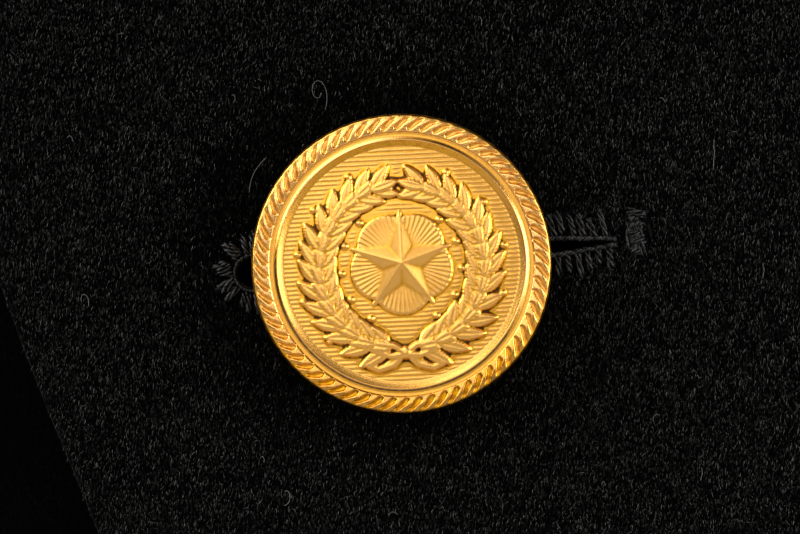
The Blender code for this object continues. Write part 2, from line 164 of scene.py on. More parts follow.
def noise(tree, vector, scale, **inputs):
    return new_node(tree, "ShaderNodeTexNoise", Vector=vector, Scale=scale, **inputs).outputs[0]


def by_place(tree, node, values):
    """Feeds a node's inputs by their place, where names repeat."""
    for place, value in values.items():
        feed(tree, node.inputs[place], value)


def math_node(tree, operation, first, second):
    node = tree.nodes.new("ShaderNodeMath")
    node.operation = operation
    by_place(tree, node, {0: first, 1: second})
    return node.outputs[0]


def ramp(tree, value, low, high):
    """A value stretched from 0 at low to 1 at high."""
    node = new_node(tree, "ShaderNodeMapRange", Value=value, From_Min=low, From_Max=high)
    return node.outputs["Result"]


def mix_colour(tree, part, first, second):
    node = tree.nodes.new("ShaderNodeMix")
    node.data_type = "RGBA"
    by_place(tree, node, {0: part, 6: first, 7: second})
    return node.outputs[2]


def part_added(tree, base, other, part):
    """A value with a part of another one added."""
    return math_node(tree, "ADD", base, math_node(tree, "MULTIPLY", other, part))


def new_group(name, takes, gives):
    """A node group with its sockets, and what it takes in."""
    group = bpy.data.node_groups.new(name, "ShaderNodeTree")
    for way, labels in (("INPUT", takes), ("OUTPUT", gives)):
        for label in labels:
            group.interface.new_socket(label, in_out=way, socket_type="NodeSocketFloat")
    return group, group.nodes.new("NodeGroupInput").outputs


def use_group(tree, group, **inputs):
    """What a node group gives out in a material."""
    node = tree.nodes.new("ShaderNodeGroup")
    node.node_tree = group
    return fill(tree, node, **inputs).outputs


nap, nap_in = new_group("wool_nap", ("Across", "Along"), ("Streak", "Cloud", "Height"))
place = object_place(nap)
leaning = new_node(nap, "ShaderNodeMapping", Vector=place, Rotation=(0.0, -NAP_LEAN, 0.0))
stretch = new_node(nap, "ShaderNodeCombineXYZ", X=nap_in["Across"], Y=nap_in["Across"],
                   Z=nap_in["Along"])
combed = nap.nodes.new("ShaderNodeVectorMath")
combed.operation = "MULTIPLY"
by_place(nap, combed, {0: leaning.outputs[0], 1: stretch.outputs[0]})
hairs = noise(nap, combed.outputs[0], 1.0, Detail=2.0, Roughness=0.6, Distortion=0.4)
clouds = noise(nap, place, CLOUD_SCALE, Detail=3.0, Roughness=0.55)
matted = noise(nap, place, MATTED_SCALE, Detail=2.0, Roughness=0.5)
new_node(nap, "NodeGroupOutput", Streak=ramp(nap, hairs, *STREAKS),
         Cloud=ramp(nap, clouds, *CLOUDS), Height=part_added(nap, hairs, matted, MATTED_SHARE))


def field_part(tree):
    """0 where the single fibres of the close-up stand, rising to 1 away from their field."""
    offset = new_node(tree, "ShaderNodeVectorMath", Vector=object_place(tree))
    offset.operation = "SUBTRACT"
    offset.inputs[1].default_value = waist_seat.translation
    parts = new_node(tree, "ShaderNodeSeparateXYZ", Vector=offset.outputs[0])
    total = 0.0
    for axis_name, reach in zip("XYZ", (NAP_FIELD.x, FIELD_DEPTH, NAP_FIELD.y)):
        part = math_node(tree, "DIVIDE", parts.outputs[axis_name], reach)
        squared = math_node(tree, "MULTIPLY", part, part)
        total = math_node(tree, "ADD", math_node(tree, "MULTIPLY", squared, squared), total)
    away = math_node(tree, "POWER", total, 0.25)
    near = math_node(tree, "MULTIPLY", ramp(tree, away, *FIELD_EDGE), NEAR_SHARE)
    far = math_node(tree, "MULTIPLY", ramp(tree, away, FIELD_EDGE[1], FIELD_FAR), 1 - NEAR_SHARE)
    return math_node(tree, "ADD", near, far)


def wool_material(name, pale, bump):
    """Black wool: streaks of lighter nap over a darker ground, in slow clouds, with the streaks
    darkened down in creases as painted shade and lightened on their rises as painted highlight.
    """
    material, tree, shader = new_material(name)
    streak, cloud, height = use_group(tree, nap, Across=NAP_ACROSS, Along=NAP_ALONG)
    cloudy = math_node(tree, "ADD", math_node(tree, "MULTIPLY", cloud, 0.7), 0.5)
    # Painted shade and painted highlight: the crease shade that the mesh carries darkens the
    # streaks down in creases and lightens them on their rises.
    painted_shading = math_node(tree, "MULTIPLY", cloudy, painted(tree, "crease_shade"))
    outside = field_part(tree)
    colour = mix_colour(tree, math_node(tree, "MULTIPLY", streak, painted_shading),
                        mix_colour(tree, outside, WOOL_DARK, FAR_DARK),
                        mix_colour(tree, outside, pale, FAR_PALE))
    lift = new_node(tree, "ShaderNodeBump", Strength=bump, Distance=NAP_BUMP, Height=height)
    fill(tree, shader, Base_Color=colour, Normal=lift.outputs[0], Roughness=0.85,
         Specular_IOR_Level=0.01, Sheen_Weight=0.08, Sheen_Roughness=0.15,
         Sheen_Tint=(0.75, 0.75, 0.72, 1.0))
    return material


wool = wool_material("black_wool", WOOL_PALE, 0.9)
# The right front wears this darker copy as painted shade under the left front's free edge.
shaded_under_wool = wool_material("black_wool_under_shaded", UNDER_SHADE_PALE, 0.6)

CREASE_GAIN = 2.9
CREASE_WIDEN = 1.10
CREASE_CORE = 1.25
CREASE_SHOULDER = 0.40
# How far a crease's push darkens the wool as painted shade, and the limits of that painted shade
# and highlight.
CREASE_SHADE_DEPTH = 0.0040
CREASE_SHADE_LIMITS = (0.15, 1.6)
SLEEVE_TOP = -0.29
SLEEVE_RUN = 0.345
SLEEVE_PLACE = (0.262, 0.004)
SLEEVE_BEND = (0.030, -0.058)
# Each row holds where a crease starts and ends, as seen from the side that it faces, its
# width, and its depth, which is negative where the cloth sinks in.
CREASES = {
    ("body", "front"): (
        ((0.058, -0.428), (0.140, -0.388), 0.0095, -0.0024),
        ((0.066, -0.449), (0.126, -0.436), 0.0070, 0.0015),
        ((0.049, -0.474), (0.104, -0.497), 0.0090, -0.0017),
        ((-0.060, -0.436), (-0.136, -0.402), 0.0105, -0.0026),
        ((-0.072, -0.414), (-0.118, -0.376), 0.0065, 0.0014),
        ((-0.052, -0.480), (-0.094, -0.492), 0.0080, -0.0013),
        ((0.062, -0.352), (0.148, -0.281), 0.0110, -0.0020),
        ((-0.070, -0.346), (-0.128, -0.318), 0.0090, -0.0015),
        ((-0.092, -0.300), (-0.158, -0.236), 0.0120, -0.0019),
        ((0.132, -0.148), (0.166, -0.224), 0.0085, -0.0026),
        ((-0.128, -0.162), (-0.168, -0.226), 0.0100, -0.0022),
    ),
    ("body", "back"): (
        ((0.012, -0.412), (0.118, -0.386), 0.0110, -0.0028),
        ((0.020, -0.372), (0.092, -0.360), 0.0085, 0.0016),
        ((-0.018, -0.396), (-0.126, -0.366), 0.0120, -0.0025),
        ((-0.026, -0.440), (-0.088, -0.421), 0.0080, 0.0018),
        ((0.030, -0.096), (0.138, -0.122), 0.0120, -0.0021),
        ((-0.022, -0.110), (-0.120, -0.104), 0.0095, -0.0017),
        ((0.118, -0.158), (0.158, -0.262), 0.0100, -0.0029),
        ((-0.122, -0.166), (-0.152, -0.244), 0.0085, -0.0024),
    ),
    ("body", "side"): (
        ((-0.052, -0.432), (0.050, -0.412), 0.0090, -0.0023),
        ((-0.030, -0.392), (0.062, -0.384), 0.0075, -0.0017),
        ((-0.044, -0.266), (-0.012, -0.330), 0.0100, -0.0018),
    ),
    ("sleeve_left", "front"): (
        ((0.236, -0.366), (0.306, -0.392), 0.0085, -0.0030),
        ((0.232, -0.412), (0.290, -0.405), 0.0070, 0.0020),
        ((0.246, -0.452), (0.312, -0.424), 0.0090, -0.0022),
        ((0.228, -0.236), (0.262, -0.300), 0.0100, -0.0022),
    ),
    ("sleeve_left", "back"): (
        ((0.226, -0.196), (0.270, -0.262), 0.0110, -0.0026),
        ((0.240, -0.420), (0.300, -0.446), 0.0080, -0.0020),
    ),
    ("sleeve_left", "side"): (
        ((-0.060, -0.548), (0.008, -0.520), 0.0110, -0.0021),
        ((-0.040, -0.250), (0.036, -0.290), 0.0120, -0.0016),
        ((-0.044, -0.398), (0.030, -0.362), 0.0095, -0.0028),
        ((-0.058, -0.446), (0.012, -0.418), 0.0080, -0.0021),
        ((-0.010, -0.172), (0.040, -0.224), 0.0120, -0.0023),
    ),
    ("sleeve_right", "front"): (
        ((-0.240, -0.374), (-0.300, -0.386), 0.0080, -0.0027),
        ((-0.236, -0.398), (-0.296, -0.424), 0.0085, -0.0024),
        ((-0.250, -0.436), (-0.302, -0.442), 0.0065, 0.0018),
        ((-0.230, -0.222), (-0.258, -0.306), 0.0110, -0.0025),
    ),
    ("sleeve_right", "back"): (
        ((-0.224, -0.188), (-0.276, -0.250), 0.0100, -0.0024),
        ((-0.244, -0.404), (-0.306, -0.418), 0.0090, -0.0022),
    ),
    ("sleeve_right", "side"): (
        ((-0.056, -0.500), (0.010, -0.534), 0.0100, -0.0018),
        ((-0.036, -0.330), (0.030, -0.312), 0.0110, -0.0017),
        ((-0.050, -0.414), (0.022, -0.384), 0.0085, -0.0026),
        ((-0.034, -0.440), (0.026, -0.448), 0.0070, 0.0019),
        ((-0.042, -0.226), (0.014, -0.184), 0.0110, -0.0021),
    ),
}


def share(value):
    """A value kept between 0 and 1."""
    return np.clip(value, 0.0, 1.0)


def rises(value, start, width):
    """0 up to the start, and rising to 1 over the width."""
    return share((value - start) / width)


def press_creases(places, node):
    """Pushes a panel's points in or out where creases cross it, with soft shoulders.

    It also gives each point's painted crease shade for the wool: under 1 darkens it down in a
    crease, over 1 lightens it on its rises as painted highlight.
    """
    sleeve = "sleeve" in node
    group = "sleeve_" + node.rsplit("_", 1)[1] if sleeve else "body"
    middle = np.zeros((len(places), 2))
    if sleeve:
        down = share((SLEEVE_TOP - places[:, 2]) / SLEEVE_RUN)
        side = 1 if node.endswith("left") else -1
        middle[:, 0] = (SLEEVE_PLACE[0] + SLEEVE_BEND[0] * down) * side
        middle[:, 1] = SLEEVE_PLACE[1] + SLEEVE_BEND[1] * down ** 2
    outward = places[:, :2] - middle
    outward /= np.maximum(np.linalg.norm(outward, axis=1, keepdims=True), 1e-6)
    moved = places.copy()
    total = np.zeros(len(places))
    for facing, faced in (("front", -outward[:, 1]), ("back", outward[:, 1]),
                          ("side", np.abs(outward[:, 0]))):
        flat = places[:, (1, 2)] if facing == "side" else places[:, (0, 2)]
        for start, end, width, depth in CREASES[group, facing]:
            start = np.array(start)
            along = np.array(end) - start
            part = share(((flat - start) @ along) / (along @ along))
            away = np.linalg.norm(flat - (start + part[:, None] * along), axis=1)
            reach = (away / (CREASE_WIDEN * width)) ** 2
            shape = CREASE_CORE * np.exp(-reach) - CREASE_SHOULDER * np.exp(-reach / 4)
            fade = CREASE_GAIN * np.sin(part * pi) ** 0.7
            push = depth * shape * fade * rises(faced, 0.15, 0.5)
            moved[:, :2] += outward * push[:, None]
            total += push
    return moved, np.clip(1.0 + total / CREASE_SHADE_DEPTH, *CREASE_SHADE_LIMITS)


# The left front's free edge swings out above the waist button and in below it: each
# row holds a height from the button and how far the edge moves towards it.
EDGE_SWING = ((-0.0600, 0.0), (-0.0350, 0.0016), (-0.0186, 0.0018), (-0.0056, 0.0),
              (0.0100, -0.0022), (0.0220, -0.0022), (0.0600, 0.0))
SWING_START = -0.0160
SWING_SOFT = 0.0100
SWING_END = -0.05
SWING_DEPTH = 0.012


def read_profile(points, value):
    """What a table of pairs gives at a value, straight between its rows."""
    return np.interp(value, [p[0] for p in points], [p[1] for p in points])


def swing_edge(places):
    """Moves the free edge beside the waist button sideways, as the jacket hangs."""
    seat = np.array(waist_seat)
    x, y, z = ((places - seat[:3, 3]) @ seat[:3, :3]).T
    part = share((SWING_START - x) / SWING_SOFT) * (x > SWING_END)
    near = part ** 2 * (3 - 2 * part) * (np.abs(z) < SWING_DEPTH)
    return places + np.outer(read_profile(EDGE_SWING, y) * near, seat[:3, 0])


WELD = 0.000002
SHANK_HOLE = 0.003
SHANK_DEPTH = 0.01
SHARP_RIM = radians(50)
RIM_ROUND = 0.0009
RIM_STEP = 0.004
SEAM_CLOSE = 0.00035
SMOOTH_LEVELS = 2


def as_mesh(form, name):
    """A finished bmesh as a mesh of that name."""
    mesh = bpy.data.meshes.new(name)
    form.to_mesh(mesh)
    form.free()
    return mesh


def close_seams(rim):
    """Moves a panel's rim out by half a seam, so that sewn panels meet."""
    on_rim = {v for e in rim for v in e.verts}
    rim_faces = {f for v in on_rim for f in v.link_faces if all(x in on_rim for x in f.verts)}
    pushes = {}
    for face in rim_faces:
        if sorted(e.calc_length() for e in face.edges)[1] > RIM_STEP:
            continue
        for vert in face.verts:
            pushes.setdefault(vert, []).append(face.normal.copy())
    for vert, normals in pushes.items():
        vert.co += sum(normals, Vector()).normalized() * SEAM_CLOSE


def rounded_wall(node):
    """A panel's wall as quads, its shank holes closed and its rim rolled over."""
    wall = bmesh.new()
    wall.from_mesh(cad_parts[node].data)
    bmesh.ops.remove_doubles(wall, verts=wall.verts, dist=WELD)
    if node == "front_left":
        holes = []
        for seat in seats.values():
            local = seat.inverted()
            for vert in wall.verts:
                near = local @ vert.co
                if hypot(near.x, near.y) < SHANK_HOLE and abs(near.z) < SHANK_DEPTH:
                    holes.append(vert)
        bmesh.ops.delete(wall, geom=holes, context="VERTS")
        bmesh.ops.holes_fill(wall, edges=[e for e in wall.edges if e.is_boundary], sides=0)
    bmesh.ops.join_triangles(wall, faces=wall.faces, angle_face_threshold=SHARP_RIM,
                             angle_shape_threshold=radians(60))
    rim = [e for e in wall.edges if len(e.link_faces) == 2 and e.calc_face_angle() > SHARP_RIM]
    close_seams(rim)
    bmesh.ops.bevel(wall, geom=rim, offset=RIM_ROUND, offset_type="OFFSET", segments=2,
                    profile=0.5, affect="EDGES", material=-1, clamp_overlap=True)
    return as_mesh(wall, node + "_rough")


def applied(piece):
    """A piece's mesh with its modifiers worked in."""
    bpy.context.view_layer.update()
    depsgraph = bpy.context.evaluated_depsgraph_get()
    mesh = bpy.data.meshes.new_from_object(piece.evaluated_get(depsgraph))
    bpy.data.objects.remove(piece)
    return mesh


def points_of(mesh):
    """A mesh's points as rows of x, y and z."""
    places = np.empty(len(mesh.vertices) * 3)
    mesh.vertices.foreach_get("co", places)
    return places.reshape(-1, 3)


def paint(mesh, name, values):
    """Stores one value for each point, for the material to read."""
    mesh.attributes.new(name, "FLOAT", "POINT").data.foreach_set("value", values)


def finish_piece(name, mesh, material, smooth_below=None):
    """A finished piece of the jacket, riding on its one body."""
    mesh.name = name
    mesh.materials.clear()
    mesh.materials.append(material)
    mesh.shade_smooth()
    if smooth_below is not None:
        mesh.set_sharp_from_angle(angle=smooth_below)
    piece = put_out(name, mesh)
    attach(piece, "root")
    return piece


# The left front has a keyhole buttonhole at each button, cut right through it.
# The slit runs away from the free edge, and its round eye lies towards that edge.
HOLE_RISE = 0.0003
EYE_PLACE = -0.01166
EYE_RADIUS = 0.0014
SLIT_HALF = 0.00048
SLIT_END = 0.0171
SLIT_SIDE = ((SLIT_END, 0.00002), (0.0155, 0.00026), (0.0120, SLIT_HALF), (-0.0080, SLIT_HALF))
KNIFE_LOW = -0.006
KNIFE_DEPTH = 0.009
eye = [radians(18 + 324 * k / 14) for k in range(15)]
outline = list(SLIT_SIDE)
outline += [(EYE_PLACE + EYE_RADIUS * cos(turn), EYE_RADIUS * sin(turn)) for turn in eye]
outline += [(x, -y) for x, y in reversed(SLIT_SIDE)]
cutters = []
for name, seat in seats.items():
    knife = bmesh.new()
    face = knife.faces.new([knife.verts.new((x, y + HOLE_RISE, KNIFE_LOW)) for x, y in outline])
    pulled = bmesh.ops.extrude_face_region(knife, geom=[face])
    bmesh.ops.translate(knife, vec=(0.0, 0.0, KNIFE_DEPTH),
                        verts=[v for v in pulled["geom"] if isinstance(v, bmesh.types.BMVert)])
    bmesh.ops.recalc_face_normals(knife, faces=knife.faces)
    bmesh.ops.transform(knife, matrix=seat, verts=knife.verts)
    label = "buttonhole_knife_" + name
    cutters.append(put_out(label, as_mesh(knife, label)))

# Each panel's flat size and area as it was cut, how it sits, and what it rests on.
PANELS = (
    ("front_left", (0.290, 0.580), 0.113, "draped", ("front_right",)),
    ("front_right", (0.290, 0.580), 0.113, "draped", ("back_right",)),
    ("side_left", (0.130, 0.300), 0.029, "draped", ("back_left",)),
    ("side_right", (0.130, 0.300), 0.029, "draped", ("back_right",)),
    ("back_left", (0.260, 0.530), 0.106, "draped", ("front_left",)),
    ("back_right", (0.260, 0.530), 0.106, "draped", ("front_right",)),
    ("collar_left", (0.115, 0.370), 0.035, "draped", ("front_left", "back_left")),
    ("collar_right", (0.115, 0.340), 0.033, "draped", ("front_right", "back_right")),
    ("sleeve_top_left", (0.270, 0.640), 0.133, "hung", ("front_left", "back_left")),
    ("sleeve_top_right", (0.270, 0.640), 0.133, "hung", ("front_right", "back_right")),
    ("sleeve_under_left", (0.140, 0.460), 0.052, "hung", ("side_left", "sleeve_top_left")),
    ("sleeve_under_right", (0.140, 0.460), 0.052, "hung", ("side_right", "sleeve_top_right")),
)
cloth = {}
for node, flat, area, held, rests_on in PANELS:
    rough = put_out(node + "_rough", rounded_wall(node))
    smooth = rough.modifiers.new("smooth", "SUBSURF")
    smooth.levels = SMOOTH_LEVELS
    smooth.render_levels = SMOOTH_LEVELS
    if node == "front_left":
        for cutter in cutters:
            hole = rough.modifiers.new("buttonhole", "BOOLEAN")
            hole.operation = "DIFFERENCE"
            hole.object = cutter
    mesh = applied(rough)
    places, crease_shade = press_creases(points_of(mesh), node)
    if node == "front_left":
        places = swing_edge(places)
    mesh.vertices.foreach_set("co", places.ravel())
    # Each point's painted crease shade, for the wool to read.
    paint(mesh, "crease_shade", crease_shade)
    mesh.update()
    # The right front gets the darker wool, as painted shade under the left front.
    facing_wool = shaded_under_wool if node == "front_right" else wool
    piece = finish_piece(node + "_cloth", mesh, facing_wool, radians(55))
    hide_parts(node)
    cloth[node] = piece
for cutter in cutters:
    bpy.data.objects.remove(cutter)


# Nap of the wool: single brushed fibres that stand out of the cloth round the waist
# button, leaning one way as they were pressed. They thin out where the view ends, and
# beyond that the wool's own streaks stand for them. They also thin out round the button,
# most of all on its left, as a painted shadow of the button.
Nap = namedtuple("Nap", "name fibres length radius rise bent")
NAP_LAYERS = (
    Nap("nap_short", 65000, (0.00014, 0.00036), (0.000013, 0.000021), (6, 26), False),
    Nap("nap_long", 12500, (0.00024, 0.00052), (0.000013, 0.000022), (4, 18), True),
)
FIBRE_DARK = (0.0006, 0.0006, 0.0005, 1.0)
FIBRE_PALE = (0.1080, 0.1080, 0.1010, 1.0)
LOOK_FROM = 0.02
LOOK_DEPTH = 0.04
# The nap is thinned round this point beside the button, as a painted shadow of the button.
NAP_SHADOW_MIDDLE = (-0.0024, 0.0008)
NAP_SHADOW_RADIUS = 0.0122
NAP_SHADOW_SOFT = 0.0050
UNDER_BUTTON = 0.0100
STEEPEST = 0.25
FIRST_FIBRE_SEED = 41
fibre_wool, tree, shader = new_material("black_wool_fibre")
fill(tree, shader, Roughness=0.55, Specular_IOR_Level=0.05,
     Base_Color=mix_colour(tree, painted(tree, "shade"), FIBRE_DARK, FIBRE_PALE))
front_skin = bmesh.new()
front_skin.from_mesh(cloth["front_left"].data)
front_tree = BVHTree.FromBMesh(front_skin)
front_skin.free()


def find_cloth(seat, x, y):
    """The left front's outer surface under a place in a button's own frame, if any."""
    facing = seat.col[2].to_3d()
    hit = front_tree.ray_cast(seat @ Vector((x, y, LOOK_FROM)), -facing, LOOK_DEPTH)
    return hit if hit[0] else None


def thickness_of_nap(x, y):
    """Worn and thick places of the nap at random, and the nap thinned round the button, most on
    its left, as a painted shadow of the button, up to 1.
    """
    waves = (sin(2100 * x + 900 * y + 1.0) + sin(1300 * y - 700 * x + 2.2)
             + sin(3300 * x - 2600 * y) + sin(760 * x + 3900 * y + 0.7))
    away = hypot(x - NAP_SHADOW_MIDDLE[0], y - NAP_SHADOW_MIDDLE[1]) - NAP_SHADOW_RADIUS
    return (0.70 + 0.30 * waves / 2.6) * min(max(away / NAP_SHADOW_SOFT, 0.15), 1.0)


def fibre_mesh(layer, dice):
    """Tapered three-sided fibres, each rooted in the cloth; the long ones bend over."""
    corners = []
    shades = []
    sides = [(cos(2 * pi * k / 3), sin(2 * pi * k / 3)) for k in range(3)]
    points = 7 if layer.bent else 4
    facing = waist_seat.col[2].to_3d()
    while len(corners) < layer.fibres * points:
        x = NAP_FIELD.x * FIELD_EDGE[1] * dice.uniform(-1, 1)
        y = NAP_FIELD.y * FIELD_EDGE[1] * dice.uniform(-1, 1)
        away = ((x / NAP_FIELD.x) ** 4 + (y / NAP_FIELD.y) ** 4) ** 0.25
        inside = min((FIELD_EDGE[1] - away) / (FIELD_EDGE[1] - FIELD_EDGE[0]), 1.0)
        inside *= thickness_of_nap(x, y)
        if dice.random() > inside or hypot(x, y) < UNDER_BUTTON:
            continue
        hit = find_cloth(waist_seat, x, y)
        if hit is None or hit[1].dot(facing) < STEEPEST:
            continue
        root, normal = hit[0], hit[1]
        stray = dice.gauss(0.0, radians(9 if dice.random() < 0.88 else 38))
        turn = radians(-90) - NAP_LEAN + stray
        lie = (waist_seat.to_3x3() @ Vector((cos(turn), sin(turn), 0.0))).normalized()
        rise = radians(dice.uniform(*layer.rise))
        length = dice.uniform(*layer.length)
        radius = dice.uniform(*layer.radius)
        across = lie.cross(normal).normalized()
        curl = across * dice.gauss(0.0, 0.12) * length
        bend = lie * (0.45 * length) + normal * (0.62 * length * sin(rise)) + curl
        tip = lie * (length * cos(rise)) + normal * (0.8 * length * sin(rise))
        for point in (Vector(), bend) if layer.bent else (Vector(),):
            for ahead, over in sides:
                corners.append(root + point + (across * ahead + normal * over) * radius)
        corners.append(root + tip)
        shades += [min(1.0, dice.random() ** 2.2 + 0.06)] * points
    walls = []
    for k in range(3):
        j = (k + 1) % 3
        if layer.bent:
            walls += [(k, j, 3 + j), (k, 3 + j, 3 + k), (3 + k, 3 + j, 6)]
        else:
            walls.append((k, j, 3))
    roots = np.arange(len(corners) // points)[:, None, None] * points
    faces = (roots + np.array(walls)[None]).reshape(-1, 3)
    mesh = bpy.data.meshes.new(layer.name)
    mesh.from_pydata([tuple(c) for c in corners], [], faces.tolist())
    paint(mesh, "shade", shades)
    return mesh


for number, layer in enumerate(NAP_LAYERS):
    fibres = fibre_mesh(layer, random.Random(FIRST_FIBRE_SEED + number))
    finish_piece(layer.name, fibres, fibre_wool)


# Buttonhole stitches: black silk twist worked over the raw edge of each hole, with a
# row of knots along the slit, a fan of stitches round the eye and a bar at the end.
# The twist's dark colour, and the colour of its painted highlights.
TWIST_DARK = (0.0006, 0.0006, 0.0005, 1.0)
TWIST_HIGHLIGHT = (0.0440, 0.0440, 0.0405, 1.0)
THREAD_RADIUS = 0.000125
PLIES = 3
STITCH_PITCH = 0.00082
STITCH_REACH = 0.0023
STITCH_START = -0.0085
STITCH_STEPS = 7
STITCH_LIFT = 0.00026
SKIPPED = 0.07
KNOT_LEVEL = 0.00016
FAN_STITCHES = 25
FAN_REACH = 0.00165
FAN_LIFT = 0.00034
BAR_SIDES = (0.01780, 0.01895)
BAR_TOP = 0.0024
BAR_BOTTOM = -0.0012
BAR_PITCH = 0.00042
HOLE_LEVEL = -0.0007
LOWEST_LEVEL = -0.0013
FIRST_STITCH_SEED = 70
twist, tree, shader = new_material("black_silk_twist")
place = object_place(tree)
# The pale patches and specks along the threads are painted highlights, where the silk would catch
# the light.
lustre = noise(tree, place, 2100.0, Detail=3.0)
fuzz = noise(tree, place, 9000.0, Detail=2.0)
painted_glints = math_node(tree, "MULTIPLY", ramp(tree, lustre, 0.47, 0.66), ramp(tree, fuzz, 0.40, 0.64))
frayed = new_node(tree, "ShaderNodeBump", Strength=0.7, Distance=0.00004, Height=fuzz)
fill(tree, shader, Base_Color=mix_colour(tree, painted_glints, TWIST_DARK, TWIST_HIGHLIGHT),
     Normal=frayed.outputs[0], Roughness=0.38, Specular_IOR_Level=0.22)


def merged(mesh, outwards=False):
    """A mesh with its doubled points merged, and its faces turned outwards if asked."""
    form = bmesh.new()
    form.from_mesh(mesh)
    bmesh.ops.remove_doubles(form, verts=form.verts, dist=SAME_POINT)
    if outwards:
        bmesh.ops.recalc_face_normals(form, faces=form.faces)
    form.to_mesh(mesh)
    form.free()
    return mesh


def thread_mesh(name, paths, radius):
    """Round threads along paths of points, joined into one mesh."""
    line = bpy.data.curves.new(name, "CURVE")
    line.dimensions = "3D"
    line.bevel_depth = radius
    line.bevel_resolution = 0
    line.use_fill_caps = True
    for path in paths:
        spline = line.splines.new("POLY")
        spline.points.add(len(path) - 1)
        spline.points.foreach_set("co", [c for point in path for c in (*point, 1.0)])
    return merged(applied(put_out(name, line)), outwards=True)


def plied(path, spread, turns):
    """The plies of a thread, which wind round each other along one path."""
    strands = []
    last = len(path) - 1
    for ply in range(PLIES):
        strand = []
        for k, point in enumerate(path):
            ahead = path[min(k + 1, last)] - path[max(k - 1, 0)]
            side = ahead.cross(Vector((0.0, 0.0, 1.0)))
            side = side.normalized() if side.length > 1e-9 else Vector((1.0, 0.0, 0.0))
            over = side.cross(ahead).normalized()
            turn = 2 * pi * (ply / PLIES + turns * k / last)
            strand.append(point + (side * cos(turn) + over * sin(turn)) * spread)
        strands.append(strand)
    return strands


def stitch_path(inner, outer, lift):
    """A stitch that leaves the slit, stands over the cloth and dives back in."""
    path = []
    for k in range(STITCH_STEPS):
        t = k / (STITCH_STEPS - 1)
        flat = inner.lerp(outer, t)
        rise = lift * (sin(pi * min(t * 0.92 + 0.08, 1.0)) ** 0.55) - 0.00018 * (t > 0.95)
        path.append(Vector((flat.x, flat.y, rise)))
    return path


def buttonhole_paths(dice):
    """All the threads of one buttonhole, flat in the button's own frame."""
    paths = []

    def stitch(inner, outer, lift):
        if dice.random() < SKIPPED:
            return
        wobble = Vector((dice.gauss(0.0, 0.00016), dice.gauss(0.0, 0.00020)))
        painted_shading = inner.lerp(outer, dice.uniform(0.0, 0.25))
        path = stitch_path(painted_shading, outer + wobble, lift * dice.uniform(0.6, 1.2))
        paths.extend(plied(path, THREAD_RADIUS * dice.uniform(1.2, 1.7), dice.uniform(0.5, 1.1)))

    def knot(points):
        paths.extend(plied(points, THREAD_RADIUS * 0.9, 0.8))

    along = STITCH_START
    while along < SLIT_END - 0.0002:
        half = SLIT_HALF * min(max((SLIT_END - along) / 0.0048, 0.15), 1.0)
        for side, slant, reach in ((1, -0.00038, STITCH_REACH), (-1, 0.00028, 0.8 * STITCH_REACH)):
            inner = Vector((along, HOLE_RISE + side * half))
            far = half + reach * dice.uniform(0.86, 1.08)
            outer = Vector((along + slant * dice.uniform(0.1, 1.6), HOLE_RISE + side * far))
            stitch(inner, outer, STITCH_LIFT)
            knot([Vector((along + STITCH_PITCH * (k / 6 - 0.15),
                          HOLE_RISE + side * (half + KNOT_LEVEL),
                          KNOT_LEVEL + 0.00020 * sin(pi * k / 6))) for k in range(7)])
        along += STITCH_PITCH * dice.uniform(0.88, 1.10)
    centre = Vector((EYE_PLACE, HOLE_RISE))
    for k in range(FAN_STITCHES):
        turn = radians(24 + 312 * k / (FAN_STITCHES - 1) + dice.gauss(0.0, 2.5))
        ray = Vector((cos(turn), sin(turn)))
        outer = centre + ray * (EYE_RADIUS + FAN_REACH * dice.uniform(0.6, 1.1))
        stitch(centre + ray * EYE_RADIUS, outer, FAN_LIFT)
        points = []
        for j in range(6):
            bent = turn + radians(17) * (j / 5 - 0.4)
            spot = centre + Vector((cos(bent), sin(bent))) * (EYE_RADIUS - 0.00005)
            points.append(Vector((spot.x, spot.y, 0.00018 + 0.00014 * sin(pi * j / 5))))
        knot(points)
    for k in range(9):
        high = HOLE_RISE + (BAR_TOP - BAR_PITCH * k + dice.gauss(0.0, 0.00008))
        inner = Vector((BAR_SIDES[0] + dice.gauss(0.0, 0.00012), high))
        outer = Vector((BAR_SIDES[1] + dice.gauss(0.0, 0.00012), high + dice.gauss(0.0, 0.00015)))
        stitch(inner, outer, 0.00042)
    for k in range(4):
        x = 0.01800 + 0.00024 * k
        top = Vector((x, HOLE_RISE + BAR_TOP))
        stitch(top, Vector((x + 0.0001, HOLE_RISE + BAR_BOTTOM)), 0.00028)
    return paths


def laid_on_cloth(paths, seat):
    """Puts flat paths on the cloth's real surface under a button."""
    placed = []
    for path in paths:
        spots = []
        for point in path:
            hit = find_cloth(seat, point.x, point.y)
            level = (seat.inverted() @ hit[0]).z if hit else HOLE_LEVEL
            level = max(level, LOWEST_LEVEL)
            spots.append(seat @ Vector((point.x, point.y, level + point.z)))
        placed.append(spots)
    return placed


for number, (name, seat) in enumerate(seats.items()):
    threads = buttonhole_paths(random.Random(FIRST_STITCH_SEED + number))
    mesh = thread_mesh("stitches_" + name, laid_on_cloth(threads, seat), THREAD_RADIUS)
    finish_piece("buttonhole_stitches_" + name, mesh, twist)


# Buttons: a gilt brass shell pressed over a die. A lined ground carries a laurel wreath
# round a faceted star in low relief, inside a polished ring and a roped rim.
BUTTON_TURN = radians(-2.2)
GROUND_RADIUS = 0.00950
LINE_PITCH = 0.000345
LINE_RISE = 0.000085
GILT = (0.800, 0.402, 0.088, 1.0)
# A deeper orange gilt, painted in as shade and as the gold's own reflection in hollows, grooves
# and round the relief.
GILT_SHADED = (0.660, 0.280, 0.006, 1.0)
PATINA = (0.050, 0.024, 0.004, 1.0)

